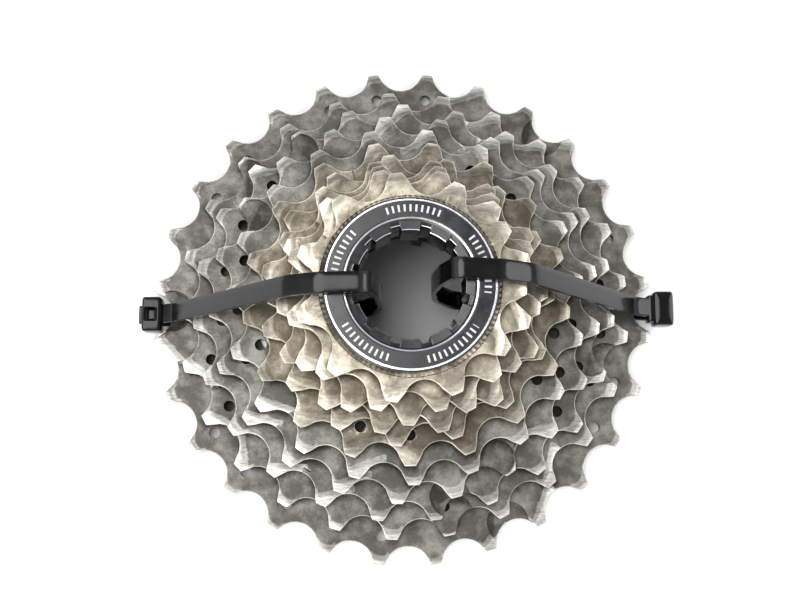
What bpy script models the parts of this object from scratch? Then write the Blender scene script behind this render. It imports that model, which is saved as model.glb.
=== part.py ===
"""Eleven-speed road bicycle cassette, off its hub and held together by two cable ties.

Metres, +Z up. The cassette's axis is the Z axis and the ties' lowest face is z = 0.
The largest sprocket is at the bottom and the lockring is at the top.
"""
import math

import bmesh
import bpy
from mathutils.geometry import tessellate_polygon

MM = 0.001

# Chain and stack
CHAIN_PITCH = 12.7 * MM
ROOT_DEPTH = 3.95 * MM           # bottom of a valley below the pitch circle
SEAT_STEPS = 4
SMALL_SEAT = (4.1 * MM, 62.0)    # radius of a valley's arc and degrees to each side, fewest teeth
LARGE_SEAT = (5.2 * MM, 75.0)    # the same with the most teeth
TIP_HEIGHT = 0.55 * MM           # tooth tip above the pitch circle
TIP_WIDTH = 2.3 * MM
STACK_PITCH = 3.74 * MM          # one sprocket to the next
PLATE = 1.6 * MM                 # thickness of a sprocket
GAP = 0.3 * MM                   # between pieces that touch

# Bore, for a nine-spline hub body
GROOVE_RADIUS = 17.35 * MM
TAB_DEPTH = 1.35 * MM
SHALLOWER = 0.45 * MM            # the smallest sprocket's grooves, against the others'
TAB_COUNT = 9
TAB_HALF_ANGLE = 6.5             # degrees
NARROW_TAB = 2                   # the one tab that sets which way round a sprocket goes on
NARROW_TAB_HALF_ANGLE = 4.0
TAB_FLANK_ANGLE = 0.5

PLAIN_SIDES = 36                 # of a round edge
LOCK_SIDES = 60

# Relief holes under some of the teeth
HOLE_RADIUS = 1.25 * MM
HOLE_BELOW_ROOT = 2.0 * MM
HOLE_SIDES = 8

# Spacers and the built-in bosses of the two smallest sprockets
SPACER_WALL = 3.25 * MM          # outside the grooves
BOSS_WALL = 0.95 * MM

# Carriers, arms and rivets
HUB_WALL = 3.05 * MM
ARM_COUNT = 6
ARM_ROOT_STEP = 1.0 * MM         # an arm starts this far outside its hub
ARM_ROOT_HALF_ANGLE = 13.0
ARM_TIP_HALF_WIDTH = 3.6 * MM
ARM_CORNER = 1.4 * MM            # length and share of the width of the cut-off corners
ARM_CORNER_SHARE = 0.6
ARM_PAST_RIVET = 3.4 * MM
LARGE_RIVET_INSET = 8.7 * MM     # from the roots of the smaller sprocket it holds
MIDDLE_RIVET_INSET = 9.1 * MM
SMALL_RIVET_INSET = 5.6 * MM
RIVET_SHANK = 1.5 * MM
RIVET_HEAD = 2.3 * MM
RIVET_HEAD_HEIGHT = 0.9 * MM
RIVET_SIDES = 8
LOBE_HALF_ANGLE = 6.0
LOBE_ROOT_HALF_ANGLE = 10.8
LOBE_PAST_RIVET = 3.4 * MM
RING_SHARES = (0.34, 0.5, 0.66)  # where the ring's inner edge has points between two lobes
RING_BACK = 9.0 * MM             # from the largest sprocket's roots to its inner edge
PLATE_PAST_RIVET = 3.6 * MM      # from a rivet circle to the inner edge of a plain plate

# Lockring
LOCK_CLEARANCE = 0.8 * MM        # from the bore's tabs to the skirt
LOCK_LIP = 2.1 * MM              # the flange, outside the skirt
LOCK_FLANGE = 1.9 * MM
LOCK_DEPTH = 9.0 * MM
LOCK_WALL = 3.45 * MM            # of the skirt, down to the notches
LOCK_TOOTH_DEPTH = 0.95 * MM
LOCK_TEETH = 12
LOCK_TOOTH_HALF_ANGLE = 9.3
LOCK_FLANK_ANGLE = 1.2

# Cable ties
STRAP = 1.2 * MM                 # thickness
STRAP_WIDTH = 4.2 * MM
TIE_HEAD_WIDTH = 7.8 * MM
TIE_HEAD_LENGTH = 5.2 * MM
TIE_HEAD_HEIGHT = 4.8 * MM
TIE_HEAD_CHAMFER = 0.5 * MM
BORE_BULGE = 5.2 * MM            # how far a strap bows in from the lockring's teeth
BORE_SLACK = 1.1 * MM            # and how much less it does so near its ends
BORE_DROP = 8.0 * MM             # from the lockring's face to where the strap runs straight
BORE_RISE = 11.0 * MM            # the same above its lowest face
LEFT_TIE_MARGIN = 2.5 * MM       # from the largest sprocket's tips to a tie's outer end
RIGHT_TIE_MARGIN = 3.9 * MM
LEFT_TIE_Y = (0.4 * MM, -1.3 * MM)     # on the axis and at the head; a strap runs askew
RIGHT_TIE_Y = (3.5 * MM, 0.3 * MM)
TIE_CLEARANCE = 0.5 * MM         # between a strap and what it passes
BEND_STEPS = 4

# teeth, angle of the first tooth in degrees, numbers of the teeth with a relief hole
SPROCKETS = (
    (28, 20.0, (0, 5, 6, 7, 8, 9, 10, 15, 16, 17, 18, 19, 24, 25, 26, 27)),
    (25, 7.6, (0, 12, 13, 14, 19, 20, 21, 23, 24)),
    (23, 12.2, (8, 9, 10, 11, 12, 20, 21)),
    (21, 10.4, (9, 10, 11, 19, 20)),
    (19, 7.1, (2, 3, 10, 17, 18)),
    (17, 17.0, (11, 12)),
    (15, 1.4, ()),
    (14, 1.3, ()),
    (13, 20.5, ()),
    (12, 14.3, ()),
    (11, 31.6, ()),
)
CARRIED = 5                      # the largest sprockets, which are riveted to carriers
BOSSED = (12, 11)                # sprockets with a built-in spacer behind them
LARGE_ARM = 180 / ARM_COUNT      # degrees to the first arm; the ties pass between these arms
MIDDLE_ARM = 0.0
SMALL_ARM = 90 / ARM_COUNT


def level(index):
    """Height of the back face of a sprocket, counted from the largest."""
    return STRAP + GAP + index * STACK_PITCH


def pitch_radius(teeth):
    return CHAIN_PITCH / (2 * math.sin(math.pi / teeth))


def tip_radius(teeth):
    return pitch_radius(teeth) + TIP_HEIGHT


def root_radius(teeth):
    return pitch_radius(teeth) - ROOT_DEPTH


def seat(teeth):
    """Radius and half angle of a valley's arc, between those of the end sprockets."""
    most, fewest = SPROCKETS[0][0], SPROCKETS[-1][0]
    share = (teeth - fewest) / (most - fewest)
    return tuple(small + share * (large - small) for small, large in zip(SMALL_SEAT, LARGE_SEAT))


# Radii that follow from the bore and from the teeth
TAB_RADIUS = GROOVE_RADIUS - TAB_DEPTH
SMALL_GROOVE_RADIUS = GROOVE_RADIUS - SHALLOWER
SPACER_OUTER = GROOVE_RADIUS + SPACER_WALL
BOSS_OUTER = GROOVE_RADIUS + BOSS_WALL
HUB_OUTER = GROOVE_RADIUS + HUB_WALL
LOCK_SKIRT = TAB_RADIUS - LOCK_CLEARANCE
LOCK_OUTER = LOCK_SKIRT + LOCK_LIP
LOCK_NOTCH_RADIUS = LOCK_SKIRT - LOCK_WALL
LOCK_TOOTH_RADIUS = LOCK_NOTCH_RADIUS - LOCK_TOOTH_DEPTH
LARGE_RIVET_CIRCLE = root_radius(SPROCKETS[1][0]) - LARGE_RIVET_INSET
MIDDLE_RIVET_CIRCLE = root_radius(SPROCKETS[2][0]) - MIDDLE_RIVET_INSET
SMALL_RIVET_CIRCLE = root_radius(SPROCKETS[4][0]) - SMALL_RIVET_INSET
TIE_HEAD_BOTTOM = level(0) + PLATE + GAP
TIE_HEAD_TOP = TIE_HEAD_BOTTOM + TIE_HEAD_HEIGHT


def polar(radius, degrees):
    angle = math.radians(degrees)
    return (radius * math.cos(angle), radius * math.sin(angle))


# Outlines: lists of (x, y), anticlockwise

def circle(radius, sides, centre=(0.0, 0.0)):
    points = [polar(radius, 360 * i / sides) for i in range(sides)]
    return [(centre[0] + x, centre[1] + y) for x, y in points]


def tooth_outline(teeth, first_tooth):
    """Flat-topped teeth with a round roller seat between each two."""
    seat_radius, seat_half_angle = seat(teeth)
    seat_centre = root_radius(teeth) + seat_radius
    tip = tip_radius(teeth)
    half_tip = math.degrees(TIP_WIDTH / 2 / tip)
    step = 360 / teeth
    outline = []
    for tooth in range(teeth):
        middle = first_tooth + tooth * step
        outline += [polar(tip, middle - half_tip), polar(tip, middle + half_tip)]
        valley = math.radians(middle + step / 2)
        for i in range(SEAT_STEPS + 1):
            swing = math.radians(seat_half_angle * (2 * i / SEAT_STEPS - 1))
            out = seat_centre - seat_radius * math.cos(swing)
            across = seat_radius * math.sin(swing)
            outline.append((out * math.cos(valley) - across * math.sin(valley),
                            out * math.sin(valley) + across * math.cos(valley)))
    return outline


def spline_bore(groove_radius):
    """Nine tabs that reach in from the groove radius, one of them narrow."""
    outline = []
    step = 360 / TAB_COUNT
    for tab in range(TAB_COUNT):
        middle = tab * step
        half = NARROW_TAB_HALF_ANGLE if tab == NARROW_TAB else TAB_HALF_ANGLE
        outline += [polar(groove_radius, middle - half - TAB_FLANK_ANGLE),
                    polar(TAB_RADIUS, middle - half), polar(TAB_RADIUS, middle + half),
                    polar(groove_radius, middle + half + TAB_FLANK_ANGLE),
                    polar(groove_radius, middle + step / 2)]
    return outline


def lobed_edge(radius, lobe_radius, first_lobe):
    """Inner edge of a ring, with a lobe that reaches in at each rivet."""
    outline = []
    step = 360 / ARM_COUNT
    for lobe in range(ARM_COUNT):
        middle = first_lobe + lobe * step
        outline += [polar(radius, middle - LOBE_ROOT_HALF_ANGLE),
                    polar(lobe_radius, middle - LOBE_HALF_ANGLE),
                    polar(lobe_radius, middle + LOBE_HALF_ANGLE),
                    polar(radius, middle + LOBE_ROOT_HALF_ANGLE)]
        outline += [polar(radius, middle + share * step) for share in RING_SHARES]
    return outline


def star(rivet_circle, first_arm):
    """Tapered arms round the carrier's hub."""
    outline = []
    step = 360 / ARM_COUNT
    inner = HUB_OUTER + ARM_ROOT_STEP
    tip = rivet_circle + ARM_PAST_RIVET
    half_tip = math.degrees(ARM_TIP_HALF_WIDTH / tip)
    half_end = ARM_CORNER_SHARE * half_tip
    for arm in range(ARM_COUNT):
        middle = first_arm + arm * step
        outline += [polar(inner, middle - ARM_ROOT_HALF_ANGLE),
                    polar(tip - ARM_CORNER, middle - half_tip),
                    polar(tip, middle - half_end), polar(tip, middle + half_end),
                    polar(tip - ARM_CORNER, middle + half_tip),
                    polar(inner, middle + ARM_ROOT_HALF_ANGLE),
                    polar(inner, middle + step / 2)]
    return outline


def rivet_holes(ring_radius, first):
    return [circle(RIVET_SHANK + GAP, RIVET_SIDES, polar(ring_radius, first + i * 360 / ARM_COUNT))
            for i in range(ARM_COUNT)]


# Solids

def material(name, colour, roughness, metallic):
    made = bpy.data.materials.new(name)
    made.use_nodes = True
    made.diffuse_color = (*colour, 1.0)
    shader = made.node_tree.nodes["Principled BSDF"]
    shader.inputs["Base Color"].default_value = (*colour, 1.0)
    shader.inputs["Roughness"].default_value = roughness
    shader.inputs["Metallic"].default_value = metallic
    return made


def finish(name, shape, surface):
    """Turns a closed bmesh into a named object with its material."""
    bmesh.ops.recalc_face_normals(shape, faces=shape.faces)
    mesh = bpy.data.meshes.new(name)
    shape.to_mesh(mesh)
    shape.free()
    mesh.shade_smooth()
    mesh.set_sharp_from_angle(angle=math.radians(30))
    made = bpy.data.objects.new(name, mesh)
    made.data.materials.append(surface)
    bpy.context.scene.collection.objects.link(made)
    return made


def fill(shape, loops, facing_up):
    """Fills the area inside the first loop of vertices and outside the others."""
    flat = [vertex for loop in loops for vertex in loop]
    for corners in tessellate_polygon([[vertex.co for vertex in loop] for loop in loops]):
        a, b, c = (flat[i] for i in corners)
        turn = (b.co - a.co).cross(c.co - a.co).z
        if (turn > 0) != facing_up:
            b, c = c, b
        shape.faces.new((a, b, c))


def wall(shape, low, high, facing_out):
    """Joins two loops of the same outline with a band of quads."""
    for i, _ in enumerate(low):
        j = (i + 1) % len(low)
        quad = (low[i], low[j], high[j], high[i])
        shape.faces.new(quad if facing_out else quad[::-1])


def stacked(name, sections, surface, bore=None):
    """A solid made of flat layers, one on the other, with one bore right through.

    Each section is (bottom, top, outline, holes). Of two layers that meet, one holds
    the other's outline inside its own, and the step between them is filled.
    """
    shape = bmesh.new()

    def ring(outline, height):
        return [shape.verts.new((x, y, height)) for x, y in outline]

    layers = []
    for bottom, top, outline, holes in sections:
        layers.append({
            "outer": (ring(outline, bottom), ring(outline, top)),
            "holes": [(ring(hole, bottom), ring(hole, top)) for hole in holes],
            "reach": max(math.hypot(x, y) for x, y in outline),
        })
    inner = (ring(bore, sections[0][0]), ring(bore, sections[-1][1])) if bore else None
    for layer in layers:
        wall(shape, *layer["outer"], facing_out=True)
        for hole in layer["holes"]:
            wall(shape, *hole, facing_out=False)
    if inner:
        wall(shape, *inner, facing_out=False)
    for end, facing_up in ((0, False), (1, True)):
        layer = layers[-1 if facing_up else 0]
        loops = [layer["outer"][end]] + [hole[end] for hole in layer["holes"]]
        fill(shape, loops + ([inner[end]] if inner else []), facing_up)
    for below, above in zip(layers, layers[1:]):
        step_up = below["reach"] > above["reach"]
        wide, narrow = (below, above) if step_up else (above, below)
        end = 1 if step_up else 0
        loops = [wide["outer"][end], narrow["outer"][1 - end]]
        fill(shape, loops + [hole[end] for hole in wide["holes"]], step_up)
    return finish(name, shape, surface)


def relief_holes(teeth, first_tooth, numbers):
    radius = root_radius(teeth) - HOLE_BELOW_ROOT
    return [circle(HOLE_RADIUS, HOLE_SIDES, polar(radius, first_tooth + k * 360 / teeth))
            for k in numbers]


def rivet(name, place, bottom, low_face, high_face, surface):
    """A shank with a head at each end; each head ends one gap off the plate it holds."""
    under, over = low_face - GAP, high_face + GAP
    profile = ((bottom, RIVET_HEAD), (under, RIVET_HEAD), (under, RIVET_SHANK),
               (over, RIVET_SHANK), (over, RIVET_HEAD), (over + RIVET_HEAD_HEIGHT, RIVET_HEAD))
    shape = bmesh.new()
    rings = []
    for height, radius in profile:
        outline = circle(radius, RIVET_SIDES, place)
        rings.append([shape.verts.new((x, y, height)) for x, y in outline])
    shape.faces.new(rings[0][::-1])
    for low, high in zip(rings, rings[1:]):
        wall(shape, low, high, facing_out=True)
    shape.faces.new(rings[-1])
    return finish(name, shape, surface)


def bend(corner, start, end, radius):
    """Points of a round bend of the given radius where two straight runs meet."""
    def towards(target):
        dx, dz = target[0] - corner[0], target[1] - corner[1]
        size = math.hypot(dx, dz)
        return (dx / size, dz / size)

    back, on = towards(start), towards(end)
    half = math.acos(max(-1.0, min(1.0, back[0] * on[0] + back[1] * on[1]))) / 2
    reach = radius / math.tan(half)
    first = (corner[0] + back[0] * reach, corner[1] + back[1] * reach)
    last = (corner[0] + on[0] * reach, corner[1] + on[1] * reach)
    points = []
    for i in range(BEND_STEPS + 1):
        share = i / BEND_STEPS
        points.append(tuple((1 - share) ** 2 * a + 2 * share * (1 - share) * b + share ** 2 * c
                            for a, b, c in zip(first, corner, last)))
    return points


def tie_route(rim):
    """Middle line of a strap in the plane of its loop, as (distance from axis, height).

    It starts in the head, runs up the cone of sprockets and over the lockring, curves
    down through the bore, runs out under the largest sprocket and up into the head.
    """
    half = STRAP / 2
    lift = half + TIE_CLEARANCE
    middle = (TIE_HEAD_BOTTOM + TIE_HEAD_TOP) / 2
    smallest = len(SPROCKETS) - 1
    top = level(smallest) + PLATE + GAP + LOCK_FLANGE
    waist = LOCK_TOOTH_RADIUS - BORE_BULGE
    # each corner's distance, height and bend radius in millimetres
    corners = (
        (rim - TIE_HEAD_LENGTH / 2, middle, 0),
        (tip_radius(SPROCKETS[1][0]) + 0.8 * lift, level(1) + PLATE + 0.8 * lift, 6),
        (tip_radius(SPROCKETS[-1][0]) + 0.8 * lift, level(smallest) + PLATE + 0.9 * lift, 8),
        (LOCK_OUTER + 0.6 * lift, top + 1.2 * lift, 5),
        (LOCK_TOOTH_RADIUS - 1.9 * lift, top + 1.2 * lift, 1.8),
        (waist + BORE_SLACK, top - BORE_DROP, 16),
        (waist, (top + STRAP) / 2, 40),
        (waist + BORE_SLACK, BORE_RISE, 12),
        (LOCK_TOOTH_RADIUS + lift, half, 5),
        (rim - half, half, 1.4),
        (rim - half, middle, 0),
    )
    places = [(x, z) for x, z, _ in corners]
    route = [places[0]]
    for i in range(1, len(corners) - 1):
        route += bend(places[i], places[i - 1], places[i + 1], corners[i][2] * MM)
    return route + [places[-1]]


def block(name, low, high, chamfer, surface):
    """A box with every edge cut off at 45 degrees."""
    shape = bmesh.new()
    bmesh.ops.create_cube(shape, size=1.0)
    for vertex in shape.verts:
        for axis in range(3):
            middle = (low[axis] + high[axis]) / 2
            vertex.co[axis] = middle + vertex.co[axis] * (high[axis] - low[axis])
    bmesh.ops.bevel(shape, geom=shape.edges, offset=chamfer, segments=1, affect="EDGES")
    return finish(name, shape, surface)


def tie(name, side, across, rim, surface):
    """A cable tie: a flat strap carried round its route, joined to its head.

    Its y changes evenly with the distance from the axis, from across[0] to across[1].
    """
    route = tie_route(rim)
    at_axis, at_head = across
    shape = bmesh.new()
    rings = []
    for i, (x, z) in enumerate(route):
        before = route[max(i - 1, 0)]
        after = route[min(i + 1, len(route) - 1)]
        dx, dz = after[0] - before[0], after[1] - before[1]
        size = math.hypot(dx, dz) / (STRAP / 2)
        centre = at_axis + (at_head - at_axis) * x / rim
        corners = []
        for turn, y in ((-1, -1), (1, -1), (1, 1), (-1, 1)):
            corners.append(shape.verts.new((side * (x + turn * dz / size),
                                            centre + y * STRAP_WIDTH / 2,
                                            z - turn * dx / size)))
        rings.append(corners)
    for low, high in zip(rings, rings[1:]):
        wall(shape, low, high, facing_out=True)
    shape.faces.new(rings[0][::-1])
    shape.faces.new(rings[-1])
    strap = finish(name, shape, surface)

    ends = sorted((side * rim, side * (rim - TIE_HEAD_LENGTH)))
    head = block(name + "_head_shape", (ends[0], at_head - TIE_HEAD_WIDTH / 2, TIE_HEAD_BOTTOM),
                 (ends[1], at_head + TIE_HEAD_WIDTH / 2, TIE_HEAD_TOP), TIE_HEAD_CHAMFER, surface)
    head.hide_render = True
    head.display_type = "WIRE"
    union = strap.modifiers.new("head", "BOOLEAN")
    union.operation = "UNION"
    union.object = head
    return strap


def build_sprockets(titanium, steel):
    """Each sprocket as a toothed plate; what is inside its teeth depends on its mounting."""
    for index, (teeth, first_tooth, holed) in enumerate(SPROCKETS):
        name = "sprocket_%dt" % teeth
        back = level(index)
        front = back + PLATE
        teeth_outline = tooth_outline(teeth, first_tooth)
        holes = relief_holes(teeth, first_tooth, holed)
        surface = titanium if index < CARRIED else steel
        if index < 2:
            holes += rivet_holes(LARGE_RIVET_CIRCLE, LARGE_ARM)
        if index in (1, 2):
            holes += rivet_holes(MIDDLE_RIVET_CIRCLE, MIDDLE_ARM)
            bore = circle(MIDDLE_RIVET_CIRCLE - PLATE_PAST_RIVET, PLAIN_SIDES)
        elif index == 0:
            bore = lobed_edge(root_radius(teeth) - RING_BACK,
                              LARGE_RIVET_CIRCLE - LOBE_PAST_RIVET, LARGE_ARM)
        elif index < CARRIED:
            holes += rivet_holes(SMALL_RIVET_CIRCLE, SMALL_ARM)
            bore = circle(SMALL_RIVET_CIRCLE - PLATE_PAST_RIVET, PLAIN_SIDES)
        else:
            smallest = index == len(SPROCKETS) - 1
            bore = spline_bore(SMALL_GROOVE_RADIUS if smallest else GROOVE_RADIUS)
        sections = [(back, front, teeth_outline, holes)]
        if teeth in BOSSED:
            below = back - STACK_PITCH + PLATE + GAP
            sections.insert(0, (below, back, circle(BOSS_OUTER, PLAIN_SIDES), []))
        stacked(name, sections, surface, bore)


def build_spacers(surface):
    """A plain ring between each two loose sprockets that have no boss."""
    for index in range(CARRIED, len(SPROCKETS)):
        upper = SPROCKETS[index][0]
        if upper in BOSSED:
            continue
        lower = SPROCKETS[index - 1][0]
        bottom = level(index - 1) + PLATE + GAP
        top = level(index) - GAP
        layer = (bottom, top, circle(SPACER_OUTER, PLAIN_SIDES), [])
        stacked("spacer_%d_%d" % (lower, upper), [layer], surface, spline_bore(GROOVE_RADIUS))


def build_carriers(large_surface, small_surface, rivet_surface):
    """The two splined hubs with arms, and the rivets that hold the titanium sprockets."""
    def hub(bottom, top):
        return (bottom, top, circle(HUB_OUTER, PLAIN_SIDES), [])

    def arms(index, ring_radius, first):
        """Between a sprocket and the next, with a gap to each."""
        return (level(index) + PLATE + GAP, level(index + 1) - GAP,
                star(ring_radius, first), rivet_holes(ring_radius, first))

    lower = arms(0, LARGE_RIVET_CIRCLE, LARGE_ARM)
    middle = arms(1, MIDDLE_RIVET_CIRCLE, MIDDLE_ARM)
    upper = arms(3, SMALL_RIVET_CIRCLE, SMALL_ARM)
    seam = level(2) + PLATE
    stacked("carrier_28_25_23",
            [hub(level(0), lower[0]), lower, hub(lower[1], middle[0]), middle, hub(middle[1], seam)],
            large_surface, spline_bore(GROOVE_RADIUS))
    stacked("carrier_21_19",
            [hub(seam + GAP, upper[0]), upper, hub(upper[1], level(4) + PLATE)],
            small_surface, spline_bore(GROOVE_RADIUS))

    under = GAP + RIVET_HEAD_HEIGHT
    sets = (
        ("large", LARGE_RIVET_CIRCLE, LARGE_ARM, 0.0, 0),
        ("middle", MIDDLE_RIVET_CIRCLE, MIDDLE_ARM, level(1) - under, 1),
        ("small", SMALL_RIVET_CIRCLE, SMALL_ARM, level(3) - under, 3),
    )
    for label, ring_radius, first, bottom, index in sets:
        for number in range(ARM_COUNT):
            place = polar(ring_radius, first + number * 360 / ARM_COUNT)
            rivet("rivet_%s_%d" % (label, number + 1), place, bottom, level(index),
                  level(index + 1) + PLATE, rivet_surface)


def build_lockring(surface):
    """A flange with a skirt, and twelve tool teeth down the inside."""
    face = level(len(SPROCKETS) - 1) + PLATE + GAP
    bore = []
    step = 360 / LOCK_TEETH
    for tooth in range(LOCK_TEETH):
        middle = tooth * step
        half = LOCK_TOOTH_HALF_ANGLE
        root_half = half + LOCK_FLANK_ANGLE
        bore += [polar(LOCK_NOTCH_RADIUS, middle - root_half),
                 polar(LOCK_TOOTH_RADIUS, middle - half), polar(LOCK_TOOTH_RADIUS, middle),
                 polar(LOCK_TOOTH_RADIUS, middle + half),
                 polar(LOCK_NOTCH_RADIUS, middle + root_half)]
    stacked("lockring", [
        (face - LOCK_DEPTH, face, circle(LOCK_SKIRT, LOCK_SIDES), []),
        (face, face + LOCK_FLANGE, circle(LOCK_OUTER, LOCK_SIDES), []),
    ], surface, bore)


def main():
    for old in list(bpy.data.objects):
        bpy.data.objects.remove(old, do_unlink=True)
    titanium = material("blasted titanium", (0.17, 0.16, 0.15), 0.5, 1.0)
    steel = material("nickel plated steel", (0.62, 0.56, 0.47), 0.4, 1.0)
    composite = material("moulded carbon composite", (0.03, 0.03, 0.032), 0.5, 0.0)
    alloy = material("black anodised aluminium", (0.02, 0.02, 0.022), 0.35, 0.6)
    silver = material("turned aluminium", (0.6, 0.6, 0.6), 0.35, 1.0)
    rivet_steel = material("riveted steel", (0.5, 0.5, 0.5), 0.35, 1.0)
    nylon = material("moulded black nylon", (0.02, 0.02, 0.022), 0.3, 0.0)
    build_sprockets(titanium, steel)
    build_spacers(silver)
    build_carriers(composite, silver, rivet_steel)
    build_lockring(alloy)
    rim = tip_radius(SPROCKETS[0][0])
    tie("tie_left", -1, LEFT_TIE_Y, rim + LEFT_TIE_MARGIN, nylon)
    tie("tie_right", 1, RIGHT_TIE_Y, rim + RIGHT_TIE_MARGIN, nylon)


main()
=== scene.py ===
"""An eleven-speed bicycle cassette, off its hub and held together by two cable ties.

Surfaces are worked out in millimetres and put into meshes in metres. Angles are in degrees.
"""

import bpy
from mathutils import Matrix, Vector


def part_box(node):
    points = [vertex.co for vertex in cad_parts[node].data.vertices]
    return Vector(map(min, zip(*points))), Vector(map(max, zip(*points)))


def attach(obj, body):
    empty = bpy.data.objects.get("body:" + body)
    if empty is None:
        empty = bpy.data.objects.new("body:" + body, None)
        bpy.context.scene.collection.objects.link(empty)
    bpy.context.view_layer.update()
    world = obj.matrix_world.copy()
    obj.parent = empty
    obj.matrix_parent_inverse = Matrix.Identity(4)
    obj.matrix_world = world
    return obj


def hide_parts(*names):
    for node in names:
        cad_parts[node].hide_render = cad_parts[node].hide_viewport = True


bl_info = {
    "name": "Bicycle cassette",
    "version": (1, 0, 0),
    "blender": (4, 5, 0),
    "location": "3D View > Sidebar > Cassette",
    "description": "Builds the sprockets, carriers, rivets, lockring and cable ties of a cassette",
    "category": "Add Mesh",
}

import math

import bpy
import numpy as np
from mathutils import Euler

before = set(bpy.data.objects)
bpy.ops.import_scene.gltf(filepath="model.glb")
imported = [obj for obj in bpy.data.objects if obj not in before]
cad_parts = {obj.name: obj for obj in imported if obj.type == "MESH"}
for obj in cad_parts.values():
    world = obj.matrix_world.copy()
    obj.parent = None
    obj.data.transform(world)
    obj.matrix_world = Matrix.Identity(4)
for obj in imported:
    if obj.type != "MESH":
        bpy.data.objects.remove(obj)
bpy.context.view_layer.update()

MM = 0.001

# Chain, stack and bore, as in the solid model
CHAIN_PITCH = 12.7
ROOT_DEPTH = 3.95
TIP_HEIGHT = 0.55
TIP_WIDTH = 2.3
SMALL_SEAT = (4.1, 62.0)         # radius of a valley's arc and degrees to each side, 11 teeth
LARGE_SEAT = (5.2, 75.0)         # the same with 28 teeth
PLATE = 1.6
GAP = 0.3
GROOVE = 17.35
SMALL_GROOVE = 16.9
TAB = 16.0
TABS = 9
TAB_HALF = 6.5
NARROW_TAB = (2, 4.0)            # its number and half angle
TAB_FLANK = 0.5
SPACER_OUTER = 20.6
BOSS_OUTER = 18.3
HUB_OUTER = 20.4

# teeth, angle of the first tooth, numbers of the teeth with a relief hole
SPROCKETS = (
    (28, 20.0, (0, 5, 6, 7, 8, 9, 10, 15, 16, 17, 18, 19, 24, 25, 26, 27)),
    (25, 7.6, (0, 12, 13, 14, 19, 20, 21, 23, 24)),
    (23, 12.2, (8, 9, 10, 11, 12, 20, 21)),
    (21, 10.4, (9, 10, 11, 19, 20)),
    (19, 7.1, (2, 3, 10, 17, 18)),
    (17, 17.0, (11, 12)),
    (15, 1.4, ()),
    (14, 1.3, ()),
    (13, 20.5, ()),
    (12, 14.3, ()),
    (11, 31.6, ()),
)
CARRIED = 5                      # the titanium sprockets
BOSSED = (12, 11)
HOLE_RADIUS = 1.25
HOLE_BELOW_ROOT = 2.0

# Shift features: teeth, (angle, side of the slanted cut) of the teeth that have one,
# and (angle, distance outside the root circle, radius) of the round sinks in the face
SLANTED = {
    28: ((52, 1), (65, 1), (180, 1), (193, 1), (296, 1), (309, 1)),
    25: ((50, 1), (64, 1), (197, 1), (211, 1), (224, -1), (312, 1)),
    23: ((58, 1), (89, 1), (244, 1), (228, 1), (135, -1)),
    21: ((60, 1), (96, 1), (214, 1), (247, 1), (318, -1)),
    19: ((64, -1), (83, 1), (216, 1), (250, 1)),
    17: ((55, 1), (101, 1), (229, 1), (246, 1), (268, -1)),
    15: ((49, 1), (97, 1), (217, 1), (241, 1)),
    14: ((53, 1), (130, 1), (233, 1), (310, 1)),
    13: ((48, 1), (159, 1), (214, 1), (297, 1)),
    12: ((44, 1), (134, 1), (254, 1), (344, 1)),
    11: ((64, 1), (162, 1), (260, 1), (326, 1)),
}
SINKS = {
    28: ((52, 0.1, 4.7), (180, 0.1, 4.7), (296, 0.1, 4.7)),
    25: ((283, 0.2, 4.6), (345, 0.2, 4.6), (140, 0.2, 4.6)),
    23: ((283, 0.0, 4.4), (345, 0.0, 4.4), (124, 0.0, 4.4)),
    21: ((300, 0.0, 4.2), (150, 0.0, 4.2)),
}
SINK_DEPTH = 0.5

# Fine shape of a ring: its rounded inner edges, shares of the way out from the face circle
# to the bevel where the front and back have rows, and the serrations as radius and depth
ROUND_EDGE = 0.15
FRONT_SHARES = (0.0, 0.16, 0.3, 0.43, 0.55, 0.66, 0.76, 0.85, 0.93, 1.0)
LAST_FRONT_SHARES = (0.3, 0.45, 0.6, 0.75, 0.88, 1.0)
INNER_SHARES = (0.4, 0.7, 0.85)          # of the way from the bore to the face circle
BACK_SHARES = (1.0, 0.7, 0.35, 0.0)
FACE_WIDTH = 3.0                 # from the face circle to the root circle
SERRATIONS = 100
SERRATED = ((17.15, 0.28), (18.0, 0.28), (18.15, 0.0))
STACK_DARKENING = (1.0, 0.95, 0.85, 0.7, 0.2, 0.0)     # darkening of the nickel-plated rings, largest first: browner and darker down the stack
SHADE_PAST, SHADE_FADE = 2.0, 2.4           # of the painted contact shade and dirt past the next ring's teeth

# Chamfers: each is cut at a slope from where it starts, measured from the root or the tip
DISC_RADIUS, DISC_BELOW_ROOT, CONE_SLOPE = 3.7, 1.3, 0.2
TIP_START, TIP_SLOPE, TIP_TILT = 1.15, 0.45, 0.15
CUT_START, CUT_SLOPE, CUT_SLANT = 1.3, 0.26, 0.75
BACK_START, BACK_SLOPE, BACK_DEEPEST = 2.6, 0.12, 0.25

# Carriers and rivets
ARMS = 6
ARM_ROOT = (21.4, 13.0)          # radius and half angle where an arm starts
ARM_HALF_WIDTH = 3.6
ARM_PAST_RIVET = 3.4
LARGE_CIRCLE, LARGE_FIRST = 38.01, 30.0
MIDDLE_CIRCLE, MIDDLE_FIRST = 33.58, 0.0
SMALL_CIRCLE, SMALL_FIRST = 29.03, 15.0
LOBE_HALF, LOBE_ROOT_HALF, LOBE_PAST_RIVET = 6.0, 10.8, 3.4
RING_BACK = 9.0
PLATE_PAST_RIVET = 3.6
RIVET_SHANK, RIVET_HEAD, RIVET_HEAD_HEIGHT = 1.5, 2.3, 0.9

# Lockring
LOCK_OUTER, LOCK_SKIRT = 17.3, 15.2
LOCK_TOOTH, LOCK_NOTCH = 10.8, 11.75
LOCK_TEETH, LOCK_TOOTH_HALF, LOCK_FLANK = 12, 9.3, 1.2
THREAD_PITCH = 1.0
LOCK_FLANGE = 1.9                # thickness

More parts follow.
